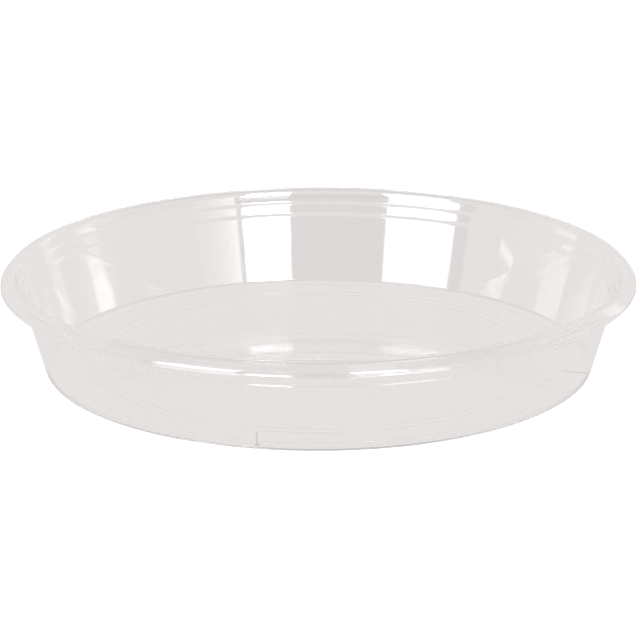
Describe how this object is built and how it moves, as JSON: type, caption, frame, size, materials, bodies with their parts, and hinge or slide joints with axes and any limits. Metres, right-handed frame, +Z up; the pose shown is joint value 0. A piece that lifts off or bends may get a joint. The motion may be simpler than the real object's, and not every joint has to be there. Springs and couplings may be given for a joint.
{
  "type": "plant saucer",
  "caption": "Shallow round saucer moulded in clear plastic, with a tapered wall, a stacking shoulder and a turned-down rim, set under a plant pot to catch water.",
  "frame": {"origin": "centre of the underside, on the surface that the saucer stands on", "axes": "+Z up along the saucer's axis of revolution, X and Y level"},
  "size_m": [0.21, 0.21, 0.0327],
  "materials": {
    "clear_plastic": "clear moulded polystyrene, glossy, with faint handling scratches"
  },
  "bodies": {
    "root": {"saucer": "clear_plastic"}
  },
  "joints": []
}
